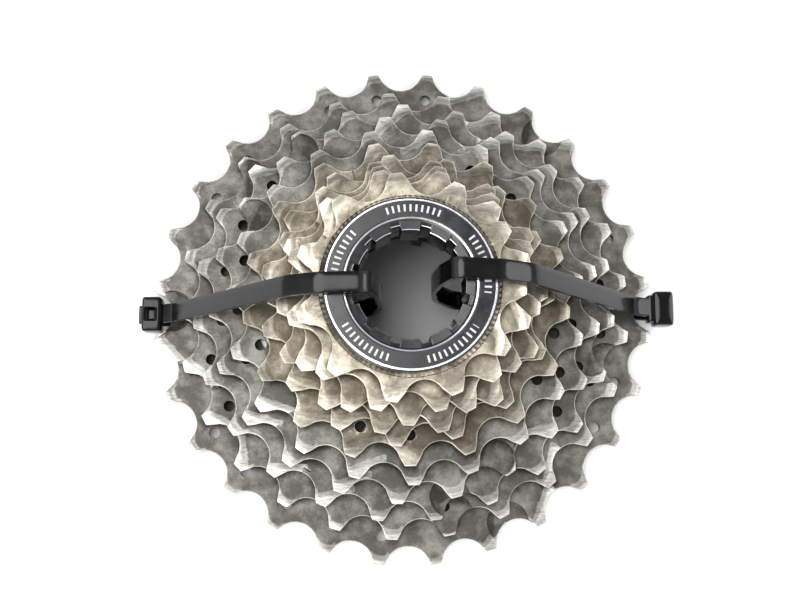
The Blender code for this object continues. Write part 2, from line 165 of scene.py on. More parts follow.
# Cable ties
STRAP, STRAP_WIDTH = 1.2, 4.2
TIE_CLEARANCE = 0.5
BORE_BULGE, BORE_SLACK, BORE_DROP, BORE_RISE = 5.2, 1.1, 8.0, 11.0
TIE_HEAD = (5.2, 7.8, 4.8)       # length, width and height
TIE_Y = {"left": (0.4, -1.3), "right": (3.5, 0.3)}     # on the axis and at the head
SAW_START, SAW_RISE = 0.12, 0.22
PALE_TURN = 0.12                 # bend, in radians to a millimetre, past which nylon pales

# Stage: floor and camera in millimetres and degrees; lamps as name, place and width in metres
FLOOR_HALF, FLOOR_DROP = 3000.0, 0.05
LENS, SENSOR = 49.94, 36.0
CAMERA_PLACE, CAMERA_TURN = (-8.93, -35.30, 255.39), (8.567, -1.810, -0.102)
LAMPS = (("key", (-0.33, 0.1, 0.93), 0.75), ("front", (-0.45, -0.65, 0.4), 0.6),
         ("side", (0.65, 0.1, 0.5), 0.5))


def level(index):
    """Height of the back of a sprocket, read from the solid model."""
    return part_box("sprocket_%dt" % SPROCKETS[index][0])[1].z / MM - PLATE


def pitch_radius(teeth):
    return CHAIN_PITCH / (2 * math.sin(math.pi / teeth))


def tip_radius(teeth):
    return pitch_radius(teeth) + TIP_HEIGHT


def root_radius(teeth):
    return pitch_radius(teeth) - ROOT_DEPTH


def smooth(value):
    """Zero to one with level ends: three x squared less two x cubed, x kept from 0 to 1."""
    value = np.clip(value, 0, 1)
    return value * value * (3 - 2 * value)


def folded(angles, first, count):
    """Number of the nearest of count equal sectors, and the angle from its middle."""
    step = 360 / count
    number = np.round((angles - first) / step)
    return number.astype(int) % count, angles - first - number * step


def polar(radius, degrees):
    """Points at a radius and an angle: radius times cosine, radius times sine."""
    turn = np.radians(degrees)
    return np.stack((radius * np.cos(turn), radius * np.sin(turn)), -1)


def ray_to_line(degrees, start, end):
    """Distance along a ray from the origin to the line through two points.

    The cross product of start with the line's direction, over that of the ray with it.
    """
    turn = np.radians(degrees)
    dx, dy = end[0] - start[0], end[1] - start[1]
    across = np.cos(turn) * dy - np.sin(turn) * dx
    return (start[0] * dy - start[1] * dx) / np.where(np.abs(across) < 1e-9, 1e-9, across)


def spread(*parts):
    """Sorted angles of several sets from 0 to 360, without near repeats."""
    merged = np.sort(np.concatenate([np.asarray(part, float).ravel() % 360 for part in parts]))
    keep = np.diff(merged, prepend=merged[-1] - 360) > 0.04
    return merged[keep]


# Outlines as a radius for each angle

def valley_shape(teeth):
    """Seat radius, distance of its centre, and the angles where the seat and flank end."""
    share = (teeth - 11) / 17
    seat, swing = (s + share * (l - s) for s, l in zip(SMALL_SEAT, LARGE_SEAT))
    centre = root_radius(teeth) + seat
    end = (centre - seat * math.cos(math.radians(swing)), seat * math.sin(math.radians(swing)))
    seat_end = math.degrees(math.atan2(end[1], end[0]))
    half_tip = math.degrees(TIP_WIDTH / 2 / tip_radius(teeth))
    return seat, centre, end, seat_end, 180 / teeth - half_tip


def tooth_angles(teeth, first):
    """Angles of the points of every tooth: close in the seat, on the flank and at the tip."""
    _, _, _, seat_end, tip_start = valley_shape(teeth)
    half = 180 / teeth
    parts = (np.linspace(0, seat_end, 6), np.linspace(seat_end, tip_start, 4)[1:],
             np.linspace(tip_start, half, 3)[1:])
    offsets = np.concatenate(parts)
    middles = first + half + np.arange(teeth)[:, None] * 360 / teeth
    return spread(middles + offsets, middles - offsets)


def tooth_radius(teeth, first, angles):
    """The seat's circle, then a straight flank, then the tip's circle.

    On a ray at an angle from the valley's middle, the circle is met at centre times cosine
    less the root of seat squared less centre times sine, squared.
    """
    seat, centre, end, seat_end, tip_start = valley_shape(teeth)
    tip = tip_radius(teeth)
    away = np.abs(folded(angles, first + 180 / teeth, teeth)[1])
    turn = np.radians(away)
    inside = np.clip(seat ** 2 - (centre * np.sin(turn)) ** 2, 0, None)
    arc = centre * np.cos(turn) - np.sqrt(inside)
    flank = ray_to_line(away, end, polar(tip, tip_start))
    return np.where(away <= seat_end, arc, np.where(away < tip_start, flank, tip))


def spline_angles():
    """Angles at both ends of each flank of the nine tabs, and a few between."""
    middles = np.arange(TABS)[:, None] * 360 / TABS
    half = np.where(np.arange(TABS) == NARROW_TAB[0], NARROW_TAB[1], TAB_HALF)[:, None]
    shares = np.array([-1, -0.5, 0, 0.5, 1])
    outer = np.array([-1, 1])
    return spread(middles + shares * half, middles + outer * (half + TAB_FLANK),
                  middles + np.linspace(-16, 16, 5) + 180 / TABS)


def spline_radius(groove, angles):
    """The tabs' radius near each ninth of a turn, the grooves' elsewhere."""
    number, away = folded(angles, 0.0, TABS)
    half = np.where(number == NARROW_TAB[0], NARROW_TAB[1], TAB_HALF)
    rise = np.clip((np.abs(away) - half) / TAB_FLANK, 0, 1)
    return TAB + (groove - TAB) * rise


def lobed_radius(ring, lobe, angles):
    """A ring's inner edge that eases in to a smaller radius at each rivet."""
    away = np.abs(folded(angles, LARGE_FIRST, ARMS)[1])
    ease = smooth((away - LOBE_HALF) / (LOBE_ROOT_HALF - LOBE_HALF))
    return lobe + (ring - lobe) * ease


def star_radius(circle, first, angles):
    """Arms with straight tapered sides and a round end past each rivet."""
    away = np.abs(folded(angles, first, ARMS)[1])
    tip = circle + ARM_PAST_RIVET
    half_tip = math.degrees(ARM_HALF_WIDTH / circle)
    side = ray_to_line(away, polar(circle, half_tip), polar(*ARM_ROOT))
    end = circle + ARM_PAST_RIVET * np.sqrt(np.clip(1 - (away / half_tip) ** 2, 0, 1))
    arm = np.where(away <= half_tip, np.maximum(end, circle), side)
    return np.clip(arm, ARM_ROOT[0], tip)


# Meshes

def put(name, points, faces, marks, sharp):
    """Makes an object of points in millimetres, with each mark as a point attribute."""
    mesh = bpy.data.meshes.new(name)
    mesh.from_pydata((points * MM).tolist(), [], faces)
    for key, values in marks.items():
        layer = mesh.attributes.new(key, "FLOAT", "POINT")
        layer.data.foreach_set("value", np.asarray(values, np.float32).ravel())
    mesh.update()
    mesh.shade_smooth()
    mesh.set_sharp_from_angle(angle=math.radians(sharp))
    made = bpy.data.objects.new(name, mesh)
    bpy.context.scene.collection.objects.link(made)
    return made


def surface(name, rows, marks=None, wrap=True, sharp=30):
    """A closed surface through a grid of points, shaped (rows, columns, 3).

    Each row closes on itself. The rows close into a ring, or end in a pole at each end.
    The faces are turned outwards by the sign of six times the volume inside.
    """
    rows = np.asarray(rows, float)
    count, columns = rows.shape[:2]
    points = rows.reshape(-1, 3)
    near = np.arange(count if wrap else count - 1)[:, None] * columns
    far = (near + columns) % (count * columns)
    here = np.arange(columns)[None, :]
    ahead = (here + 1) % columns
    quads = np.stack((near + here, near + ahead, far + ahead, far + here), -1).reshape(-1, 4)
    a, b, c, d = (points[quads[:, k]] for k in range(4))
    volume = np.sum(a * np.cross(b, c)) + np.sum(a * np.cross(c, d))
    faces = quads.tolist()
    marks = {key: np.broadcast_to(value, (count, columns)).ravel()
             for key, value in (marks or {}).items()}
    if not wrap:
        last = (count - 1) * columns
        total = len(points)
        points = np.vstack((points, rows[0].mean(0), rows[-1].mean(0)))
        start = np.stack((ahead[0], here[0], np.full(columns, total)), -1)
        end = np.stack((last + here[0], last + ahead[0], np.full(columns, total + 1)), -1)
        for cap in (start, end):
            a, b, c = (points[cap[:, k]] for k in range(3))
            volume += np.sum(a * np.cross(b, c))
            faces += cap.tolist()
        marks = {key: np.append(value, (value[0], value[-1])) for key, value in marks.items()}
    if volume < 0:
        faces = [face[::-1] for face in faces]
    return put(name, points, faces, marks, sharp)


def ring(radius, height, angles):
    """One row: a radius and a height for each angle."""
    flat = polar(np.broadcast_to(radius, angles.shape), angles)
    return np.concatenate((flat, np.broadcast_to(height, angles.shape)[:, None]), -1)


def turned(name, profile, centre, sides=28, sharp=30):
    """A profile of (radius, height) turned about an upright line, with a pole at each end."""
    angles = np.arange(sides) * 360 / sides
    rows = [ring(radius, height, angles) for radius, height in profile]
    return surface(name, np.array(rows) + (*centre, 0.0), wrap=False, sharp=sharp)


def drilled(piece, holes, sharp=30, sides=32):
    """Cuts upright round holes, each (x, y, radius, low, high), and keeps the result."""
    turns = np.arange(sides) * 360 / sides
    points, faces = [], []
    for number, (x, y, radius, low, high) in enumerate(holes):
        for height in (low, high):
            points.append(ring(radius, height, turns) + (x, y, 0.0))
        base = 2 * sides * number
        k = np.arange(sides)
        ahead = (k + 1) % sides
        faces += (base + np.stack((k, ahead, ahead + sides, k + sides), -1)).tolist()
        faces += [(base + k[::-1]).tolist(), (base + sides + k).tolist()]
    cutter = put("cutter", np.concatenate(points), faces, {}, sharp)
    modifier = piece.modifiers.new("holes", "BOOLEAN")
    modifier.operation = "DIFFERENCE"
    modifier.object = cutter
    evaluated = piece.evaluated_get(bpy.context.evaluated_depsgraph_get())
    mesh = bpy.data.meshes.new_from_object(evaluated)
    if not mesh.vertices:
        raise RuntimeError("cutting the holes of %s left nothing" % piece.name)
    piece.modifiers.clear()
    piece.data = mesh
    bpy.data.objects.remove(cutter)
    mesh.set_sharp_from_angle(angle=math.radians(sharp))
    return piece


def own(piece, body, slot, look, *nodes):
    """Gives a piece its material and body, and hides the solid nodes that it stands for; the slot
    is not used.
    """
    piece.data.materials.clear()
    piece.data.materials.append(look)
    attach(piece, body)
    if nodes:
        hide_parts(*nodes)
    return piece


# Materials

def linear(colour):
    """An sRGB hex colour such as "7c7870" as linear red, green, blue and one."""
    parts = [int(colour[k:k + 2], 16) / 255 for k in (0, 2, 4)]
    return (*[c / 12.92 if c <= 0.04045 else ((c + 0.055) / 1.055) ** 2.4 for c in parts], 1.0)


def scaled(colour, factor):
    """A linear colour made darker or lighter."""
    return (*[min(1.0, part * factor) for part in colour[:3]], 1.0)


def add(tree, kind, inputs, out=0, **settings):
    """Adds a node, sets or links its inputs, and gives one of its outputs.

    The inputs are a tuple in the order of the sockets, or a dictionary by name or number.
    """
    node = tree.nodes.new("ShaderNode" + kind)
    for key, value in settings.items():
        setattr(node, key, value)
    for key, value in inputs.items() if isinstance(inputs, dict) else enumerate(inputs):
        if isinstance(value, bpy.types.NodeSocket):
            tree.links.new(value, node.inputs[key])
        else:
            node.inputs[key].default_value = value
    return node.outputs[out]


def blank(name, **sockets):
    """A material with one shader; constants go on the shader's own sockets."""
    made = bpy.data.materials.new(name)
    made.use_nodes = True
    tree = made.node_tree
    shader = tree.nodes["Principled BSDF"]
    for key, value in sockets.items():
        shader.inputs[key.replace("_", " ")].default_value = value
    return made, tree, shader


def feed(tree, shader, **sockets):
    """Links the shader's sockets."""
    for key, value in sockets.items():
        tree.links.new(value, shader.inputs[key.replace("_", " ")])


def smudged(name, across, **sockets):
    """A blank material, the object's coordinates in it, and smudges of a width across."""
    made, tree, shader = blank(name, **sockets)
    place = add(tree, "TexCoord", (), "Object")
    smudge = add(tree, "TexNoise", {"Vector": place, "Scale": 1 / (across * MM), "Detail": 3.0})
    return made, tree, shader, place, smudge


def finish(tree, shader, tone, smudge, rough, relief, depth, strength, **more):
    """Links the tone, a roughness that follows the smudges, and the relief as a bump."""
    roughness = add(tree, "MapRange", (smudge, 0.3, 0.7, *rough))
    normal = add(tree, "Bump", {"Height": relief, "Distance": depth * MM, "Strength": strength})
    feed(tree, shader, Base_Color=tone, Roughness=roughness, Normal=normal, **more)


def metal_look(name, colour, rough, patch, dirt, dirt_and_shade_colour, edge_colour):
    """Bare metal with smudges, streaks, dirt where nothing rubs with a painted contact shade added
    past the next ring's teeth, and bright edges that are partly wear and partly painted highlight.

    Facets are painted lighter as a painted highlight, and made smoother. A further attribute, from
    zero to one, browns and darkens the tone and dims the facets; it rises down the stack of nickel
    rings.
    """
    made, tree, shader = blank(name, Metallic=1.0)
    place = add(tree, "TexCoord", (), "Object")
    wear, facet, shade, stack_darkening = (add(tree, "Attribute", (), "Fac", attribute_name=mark)
                               for mark in ("wear", "facet", "shade", "stack_darkening"))
    drawn = add(tree, "Mapping", {"Vector": place, "Rotation": (0.0, 0.0, 0.6),
                                  "Scale": (1.0, 6.0, 1.0)})
    smudge, grain, streak = (
        add(tree, "TexNoise", {"Vector": vector, "Scale": 1 / (across * MM), "Detail": detail,
                               "Roughness": busy})
        for vector, across, detail, busy in ((place, patch, 5.0, 0.65), (place, 0.5, 3.0, 0.7),
                                             (drawn, 2.2, 4.0, 0.7)))
    even = add(tree, "MapRange", (smudge, 0.38, 0.62))
    fleck = add(tree, "MapRange", (grain, 0.45, 0.75, 0.0, 0.4))
    scratch = add(tree, "MapRange", (streak, 0.56, 0.74, 0.0, 0.5))
    patchy = add(tree, "MapRange", (smudge, 0.3, 0.65, 1.0, 0.6))
    # rings lower in the nickel stack are made browner and darker, and their facets dimmer
    browned = add(tree, "Math", (stack_darkening, patchy), operation="MULTIPLY")
    # painted highlight: the facets, by their drop below the face, are painted lighter towards the
    # edge colour and made smoother
    flat = add(tree, "MapRange", (facet, 0.02, 0.06, 0.0, 0.5))
    bevel = add(tree, "MapRange", (facet, 0.28, 0.5, 0.0, 0.5))
    polish_and_highlight = add(tree, "Math", (flat, bevel), operation="ADD")
    uneven = add(tree, "MapRange", (streak, 0.32, 0.6, 0.45, 1.0))
    undarkened = add(tree, "MapRange", (stack_darkening, 0.0, 1.0, 1.0, 0.4))
    for share in (uneven, undarkened):
        polish_and_highlight = add(tree, "Math", (polish_and_highlight, share), operation="MULTIPLY")
    # painted contact shade: the shade attribute adds a dark band past the next ring's teeth, in the
    # dirt colour, on top of the smudged dirt
    dirt_and_shade = add(tree, "MapRange", (smudge, 0.62, 0.42, 0.0, dirt))
    dirt_and_shade = add(tree, "Math", (shade, 0.65, dirt_and_shade), operation="MULTIPLY_ADD", use_clamp=True)
    clean = add(tree, "MapRange", (polish_and_highlight, 0.0, 1.0, 1.0, 0.3))
    dirt_and_shade = add(tree, "Math", (dirt_and_shade, clean), operation="MULTIPLY")
    # bright edges: partly worn metal and partly a painted highlight
    rim = add(tree, "MapRange", (wear, 0.3, 0.85))
    uneven = add(tree, "MapRange", (smudge, 0.35, 0.6, 0.2, 0.65))
    rim = add(tree, "Math", (rim, uneven), operation="MULTIPLY")
    body = scaled(colour, 0.74)
    for share, tone in ((even, scaled(colour, 1.12)), (fleck, scaled(colour, 0.5)),
                        (scratch, scaled(colour, 1.45)), (browned, linear("4d483f")),
                        (polish_and_highlight, edge_colour), (dirt_and_shade, dirt_and_shade_colour), (rim, edge_colour)):
        body = add(tree, "Mix", {0: share, 6: body, 7: tone}, 2, data_type="RGBA")
    roughness = add(tree, "MapRange", (grain, 0.3, 0.7, rough - 0.06, rough + 0.1))
    smoother = add(tree, "Math", (polish_and_highlight, rim), operation="MAXIMUM")
    roughness = add(tree, "Math", (smoother, -0.08, roughness), operation="MULTIPLY_ADD")
    relief = add(tree, "Math", (streak, 0.6, grain), operation="MULTIPLY_ADD")
    normal = add(tree, "Bump", {"Height": relief, "Distance": 0.06 * MM, "Strength": 0.6})
    feed(tree, shader, Base_Color=body, Roughness=roughness, Normal=normal)
    return made


def titanium(colour):
    """Titanium, stamped, tumbled and left bare: dull warm grey, lighter on the edges and facets,
    partly where the chain rubs and partly as a painted highlight.
    """
    return metal_look("tumbled_titanium", colour, 0.5, 7.0, 0.6, linear("3b3a36"),
                      linear("e2e1da"))


def nickel(colour):
    """Steel with satin nickel plate: pale and slightly yellow, with brown stains."""
    return metal_look("satin_nickel_plated_steel", colour, 0.42, 5.0, 0.45,
                      linear("4d4538"), linear("f4ecdc"))


def turned_aluminium(name, colour):
    """Aluminium turned on a lathe: rings 0.6 mm apart that catch the light, drawn coarse."""
    made, tree, shader, place, smudge = smudged(name, 5, Metallic=1.0)
    even = add(tree, "MapRange", (smudge, 0.35, 0.65))
    tone = add(tree, "Mix", {0: even, 6: scaled(colour, 0.55), 7: colour}, 2, data_type="RGBA")
    # a wave node draws 20 / (2 pi) rings to a unit of its scale
    rings = add(tree, "TexWave", {"Vector": place, "Scale": 2 * math.pi / 20 / (0.6 * MM),
                                  "Distortion": 0.3}, "Fac", wave_type="RINGS",
                rings_direction="Z")
    finish(tree, shader, tone, smudge, (0.3, 0.48), rings, 0.02, 0.4)
    return made


def carbon_composite(colour):
    """Carbon fibre moulded in resin: a 1.6 mm twill of near-black tows under a dull skin."""
    made, tree, shader, place, smudge = smudged("moulded_carbon_composite", 3, IOR=1.5,
                                                Metallic=0.0)
    tows = add(tree, "Mapping", {"Vector": place, "Rotation": (0.0, 0.0, math.radians(45))})
    weave = add(tree, "TexChecker", {"Vector": tows, "Scale": 1 / (1.6 * MM)}, "Fac")
    tone = add(tree, "Mix", {0: weave, 6: colour, 7: scaled(colour, 2.4)}, 2, data_type="RGBA")
    relief = add(tree, "Math", (weave, smudge), operation="ADD")
    finish(tree, shader, tone, smudge, (0.36, 0.55), relief, 0.04, 0.5)
    return made


def rivet_steel(colour):
    """Steel, cold headed: lighter and darker in smudges."""
    made, tree, shader, _, smudge = smudged("cold_headed_steel", 1.5, Metallic=1.0)
    even = add(tree, "MapRange", (smudge, 0.35, 0.65))
    tone = add(tree, "Mix", {0: even, 6: scaled(colour, 0.4), 7: colour}, 2, data_type="RGBA")
    finish(tree, shader, tone, smudge, (0.28, 0.45), smudge, 0.04, 0.4)
    return made


def anodised(colour, ink_colour):
    """Aluminium, machined and anodised black: a deep satin skin, bare where it was cut after.

    Groups of short radial strokes, 4.4 degrees apart, are printed on the face in pale ink.
    """
    made, tree, shader, place, smudge = smudged("black_anodised_aluminium", 2.5, IOR=1.6)
    bare = add(tree, "Attribute", (), "Fac", attribute_name="wear")
    x, y, z = (add(tree, "SeparateXYZ", (place,), axis) for axis in "XYZ")
    flat = add(tree, "CombineXYZ", (x, y))
    radius = add(tree, "VectorMath", (flat,), "Value", operation="LENGTH")
    turn = add(tree, "Math", (y, x), operation="ARCTAN2")
    angle = add(tree, "Math", (turn,), operation="DEGREES")
    beat = add(tree, "Math", (angle, 2.2), operation="PINGPONG")
    ink = add(tree, "MapRange", (beat, 1.36, 1.54))
    shifted = add(tree, "Math", (angle, 20.0), operation="ADD")
    wide = add(tree, "Math", (shifted, 36.0), operation="PINGPONG")
    group = add(tree, "MapRange", (wide, 13.0, 13.4))
    outer = add(tree, "MapRange", (radius, 15.82 * MM, 15.75 * MM))
    inner = add(tree, "MapRange", (radius, 14.35 * MM, 14.42 * MM))
    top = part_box("lockring")[1].z
    face = add(tree, "MapRange", (z, top - 0.3 * MM, top - 0.2 * MM))
    for limit in (group, outer, inner, face, 0.85):
        ink = add(tree, "Math", (ink, limit), operation="MULTIPLY")
    hairs = add(tree, "TexNoise", {"Vector": place, "Scale": 1 / (0.6 * MM), "Detail": 5.0,
                                   "Roughness": 0.7})
    even = add(tree, "MapRange", (smudge, 0.35, 0.7))
    scratch = add(tree, "MapRange", (hairs, 0.68, 0.8, 0.0, 0.35))
    metal = add(tree, "MapRange", (bare, 0.45, 0.55))
    tone = colour
    for share, layer in ((even, scaled(colour, 2.2)), (scratch, linear("6f7278")),
                         (ink, ink_colour), (metal, linear("eeeff0"))):
        tone = add(tree, "Mix", {0: share, 6: tone, 7: layer}, 2, data_type="RGBA")
    finish(tree, shader, tone, smudge, (0.2, 0.32), hairs, 0.015, 0.3, Metallic=metal)
    return made


def nylon(colour):
    """Nylon 66, injection moulded black: glossy, faintly rippled, with fine scuffs."""
    made, tree, shader, place, smudge = smudged("moulded_black_nylon", 6, IOR=1.4, Metallic=0.0)
    bent = add(tree, "Attribute", (), "Fac", attribute_name="wear")
    hairs = add(tree, "TexNoise", {"Vector": place, "Scale": 1 / (0.7 * MM), "Detail": 5.0,
                                   "Roughness": 0.7})
    even = add(tree, "MapRange", (smudge, 0.3, 0.7))
    scuff = add(tree, "MapRange", (hairs, 0.62, 0.8, 0.0, 0.2))
    paled = add(tree, "Math", (bent, 0.35), operation="MULTIPLY")
    tone = colour
    for share, layer in ((even, scaled(colour, 2.5)), (scuff, linear("3c3e40")),
                         (paled, linear("4d4f52"))):
        tone = add(tree, "Mix", {0: share, 6: tone, 7: layer}, 2, data_type="RGBA")
    finish(tree, shader, tone, smudge, (0.1, 0.22), smudge, 0.12, 0.3)
    return made


def floor_paper(colour):
    """Matt white card: even and without gloss."""
    made, tree, shader = blank("matt_white_card", Roughness=0.9)
    place = add(tree, "TexCoord", (), "Object")
    fibre = add(tree, "TexNoise", {"Vector": place, "Scale": 1 / (40 * MM)})
    tone = add(tree, "Mix", {0: fibre, 6: scaled(colour, 0.98), 7: colour}, 2, data_type="RGBA")
    feed(tree, shader, Base_Color=tone)
    return made


# Sprockets

def tooth_drop(index, first, flat, jitter):
    """How far the front of a tooth lies below its face, for points in a plane.

    A cone that starts outside a disc behind the tooth, a bevel across the tip, and on some
    teeth a slanted plane; each is a slope times the distance past where it starts.
    """
    teeth = SPROCKETS[index][0]
    root, tip = root_radius(teeth), tip_radius(teeth)
    radius = np.hypot(flat[..., 0], flat[..., 1])
    angle = np.degrees(np.arctan2(flat[..., 1], flat[..., 0]))
    number, away = folded(angle, first, teeth)
    out, across = radius * np.cos(np.radians(away)), radius * np.sin(np.radians(away))
    disc = DISC_RADIUS + 0.4 * jitter[number, 0]
    behind = np.hypot(out - root + DISC_BELOW_ROOT, across - 0.5 * jitter[number, 1]) - disc
    on_tooth = smooth((radius - root - 0.2) / 0.8)
    drop = (CONE_SLOPE + 0.06 * jitter[number, 2]) * np.clip(behind, 0, None) * on_tooth
    tilt = TIP_TILT * across * jitter[number, 3]
    drop += (TIP_SLOPE + 0.15 * jitter[number, 2]) * np.clip(out - tip + TIP_START + tilt, 0, None)
    for where, side in SLANTED[teeth]:
        chosen = int(folded(np.array(float(where)), first, teeth)[0])
        cut = CUT_SLOPE * np.clip(CUT_SLANT * side * across + out - root - CUT_START, 0, None)
        drop += np.where(number == chosen, cut, 0.0)
    return drop


def ring_angles(index):
    """Angles of one ring: its teeth's, and those that its bore's outline needs."""
    teeth, first, _ = SPROCKETS[index]
    parts = [tooth_angles(teeth, first)]
    if index >= CARRIED:
        parts.append(spline_angles())
    if index == len(SPROCKETS) - 1:
        parts.append(np.arange(4 * SERRATIONS) * 90 / SERRATIONS)
    if index == 0:
        middles = LARGE_FIRST + np.arange(ARMS)[:, None] * 360 / ARMS
        parts.append(middles + np.linspace(-LOBE_ROOT_HALF, LOBE_ROOT_HALF, 13))
    return spread(*parts)


def ring_bore(index, angles):
    """The bore's radius for each angle, and the widest that it gets."""
    if index >= CARRIED:
        last = index == len(SPROCKETS) - 1
        return spline_radius(SMALL_GROOVE if last else GROOVE, angles), GROOVE
    if index == 0:
        widest = root_radius(SPROCKETS[0][0]) - RING_BACK
        return lobed_radius(widest, LARGE_CIRCLE - LOBE_PAST_RIVET, angles), widest
    circle = MIDDLE_CIRCLE if index in (1, 2) else SMALL_CIRCLE
    widest = circle - PLATE_PAST_RIVET
    return np.full_like(angles, widest), widest


def sprocket(index, settings):
    """A toothed ring, as a profile carried round the axis.

    The profile runs up the bore, out over the face to the tooth edge, down the edge and
    back under. Between the face circle and the edge each point is a share of the way from
    one to the other, and its height is the face less the drop there.
    """
    teeth, first, holed = SPROCKETS[index]
    back = level(index)
    front = back + PLATE
    root, tip = root_radius(teeth), tip_radius(teeth)
    last = index == len(SPROCKETS) - 1
    angles = ring_angles(index)
    bore, widest = ring_bore(index, angles)
    jitter = np.random.default_rng(100 + teeth).uniform(-1, 1, (teeth, 4))
    edge = polar(tooth_radius(teeth, first, angles), angles)
    tangent = np.roll(edge, -1, 0) - np.roll(edge, 1, 0)
    normal = np.stack((tangent[:, 1], -tangent[:, 0]), -1)
    normal /= np.linalg.norm(normal, axis=1, keepdims=True)
    bevel = settings.edge_bevel / MM
    inset = edge - normal * bevel
    inner = SERRATED[-1][0] if last else max(root - FACE_WIDTH, widest + 0.5)
    circle = polar(np.full_like(angles, inner), angles)

    def row(flat, height):
        return np.concatenate((flat, np.broadcast_to(height, angles.shape)[:, None]), -1)

    def face(flat):
        return np.minimum(tooth_drop(index, first, flat, jitter), settings.deepest / MM)

    def under(flat):
        out = np.hypot(flat[:, 0], flat[:, 1])
        return np.clip(BACK_SLOPE * (out - tip + BACK_START), 0, BACK_DEEPEST)

    # wear marks the edges that the metal paints bright, partly wear and partly painted highlight;
    # facet holds each point's drop, which the metal paints lighter as a painted highlight
    rows, wear, facet = [], [], []

    def keep(points, worn, drop=0.0):
        rows.append(points)
        wear.append(np.broadcast_to(worn, angles.shape))
        facet.append(np.broadcast_to(drop, angles.shape))

    keep(ring(bore + ROUND_EDGE, back, angles), 0)
    keep(ring(bore, back + ROUND_EDGE, angles), 0.3)
    keep(ring(bore, front - ROUND_EDGE, angles), 0.3)
    keep(ring(bore + ROUND_EDGE, front, angles), 0)
    if last:
        for radius, depth in SERRATED:
            cut = depth * np.abs((angles * SERRATIONS / 360 % 1) * 2 - 1)
            keep(ring(np.maximum(radius, bore + 0.2), front - cut, angles), 0.2)
    else:
        for share in INNER_SHARES:
            keep(ring(bore + (inner - bore) * share, front, angles), 0)
    for share in LAST_FRONT_SHARES if last else FRONT_SHARES:
        flat = circle + (inset - circle) * share
        drop = face(flat)
        keep(row(flat, front - drop), 0.75 if share == 1 else 0.0, drop)
    drop = face(edge)
    keep(row(edge, front - drop - bevel), 1.0, drop)
    keep(row(edge, back + under(edge) + 0.6 * bevel), 0.5)
    for share in BACK_SHARES:
        flat = circle + (inset - circle) * share
        keep(row(flat, back + under(flat)), 0.0)
    rows = np.array(rows)
    # painted contact shade and dirt: a dark band just past the next ring's teeth, or past the
    # lockring on the smallest ring
    above = LOCK_OUTER - GAP if last else tooth_radius(*SPROCKETS[index + 1][:2], angles)
    shade = smooth((above + SHADE_PAST - np.hypot(rows[..., 0], rows[..., 1])) / SHADE_FADE)
    # the nickel rings darken and brown down the stack, the 17T most
    stack_darkening = 0.0 if index < CARRIED else STACK_DARKENING[index - CARRIED]
    marks = {"wear": np.array(wear), "facet": np.array(facet), "shade": shade,
             "stack_darkening": np.full(shade.shape, stack_darkening)}
    if teeth in BOSSED:
        # the built-in spacer: the profile's start moves down to the foot of the boss
        foot = back - boss_height(index)
        boss = [(BOSS_OUTER, back), (BOSS_OUTER, foot + ROUND_EDGE),
                (BOSS_OUTER - ROUND_EDGE, foot), (bore + ROUND_EDGE, foot),
                (bore, foot + ROUND_EDGE)]
        rows = np.concatenate((rows, [ring(*corner, angles) for corner in boss]))[1:]
        marks = {key: np.concatenate((value, np.zeros((len(boss), len(angles)))))[1:]
                 for key, value in marks.items()}
    piece = surface("toothed_ring_%d" % teeth, rows, marks, sharp=24)
    holes = [(*polar(root - HOLE_BELOW_ROOT, first + k * 360 / teeth), HOLE_RADIUS,
              back - 1, front + 1) for k in holed]
    sinks = [(*polar(root + beyond, float(angle)), radius, front - SINK_DEPTH, front + 1)
             for angle, beyond, radius in SINKS.get(teeth, ())]
    for cuts in (holes, sinks):
        if cuts:
            drilled(piece, cuts, sharp=24)
    return piece


def boss_height(index):
    """Height of the built-in spacer behind a sprocket."""
    low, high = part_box("sprocket_%dt" % SPROCKETS[index][0])
    return (high.z - low.z) / MM - PLATE


# Hub parts

def layered(name, sections, soft, sharp=30):
    """Layers of different outlines round one splined bore, each edge slightly rounded.

    Each section is (bottom, top, function that gives the outer radius for each angle).
    """
    angles = spread(spline_angles(), np.arange(0, 360, 1.25))
    bore = spline_radius(GROOVE, angles)
    low, high = sections[0][0], sections[-1][1]
    rows = [ring(bore, high - soft, angles), ring(bore, low + soft, angles),
            ring(bore + soft, low, angles)]
    for bottom, top, outline in sections:
        outer = outline(angles)
        rows += [ring(outer - soft, bottom, angles), ring(outer, bottom + soft, angles),
                 ring(outer, top - soft, angles), ring(outer - soft, top, angles)]
    rows.append(ring(bore + soft, high, angles))
    return surface(name, rows, sharp=sharp)


def plain(radius):
    return lambda angles: np.full_like(angles, radius)


def arms(circle, first):
    return lambda angles: star_radius(circle, first, angles)


